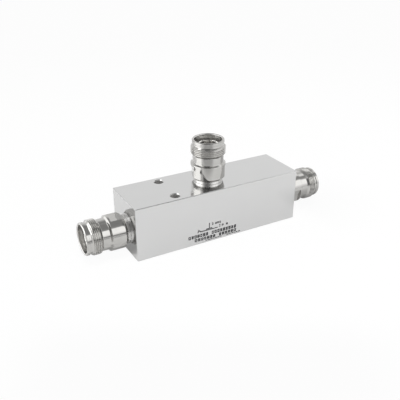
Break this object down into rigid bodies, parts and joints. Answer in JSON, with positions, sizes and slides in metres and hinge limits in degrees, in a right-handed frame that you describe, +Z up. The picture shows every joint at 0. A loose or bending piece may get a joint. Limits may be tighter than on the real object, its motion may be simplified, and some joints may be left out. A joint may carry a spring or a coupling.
{
  "type": "coaxial rf tapper",
  "caption": "Square metal bar with a threaded coaxial port on each end and one on top, which splits a small share of a radio signal off a through line.",
  "frame": {"origin": "centre of the bar's bottom face, below the tap port", "axes": "+X along the through line from the input port to the output port, -Y out of the printed front face, +Z up, out of the tap port"},
  "size_m": [0.156, 0.0318, 0.0569],
  "materials": {
    "bright_bar": "finely polished",
    "plated_shell": "turned brass with bright white-bronze plating",
    "plated_washer": "bright white-bronze plating",
    "silvered_contact": "silver-plated spring bronze",
    "silvered_line": "turned brass, silver-plated",
    "insulator": "white fluoropolymer",
    "seal": "black silicone rubber"
  },
  "bodies": {
    "root": {"body_block": "bright_bar", "through_conductor": "silvered_line", "tap_conductor": "silvered_line", "input_line_support": "insulator", "output_line_support": "insulator", "input_shell": "plated_shell", "input_seat_washer": "plated_washer", "input_contact_crown": "silvered_contact", "input_bead": "insulator", "input_centre_contact": "silvered_contact", "input_seal_ring": "seal", "output_shell": "plated_shell", "output_seat_washer": "plated_washer", "output_contact_crown": "silvered_contact", "output_bead": "insulator", "output_centre_contact": "silvered_contact", "output_seal_ring": "seal", "tap_shell": "plated_shell", "tap_seat_washer": "plated_washer", "tap_contact_crown": "silvered_contact", "tap_bead": "insulator", "tap_centre_contact": "silvered_contact", "tap_seal_ring": "seal"}
  },
  "joints": []
}
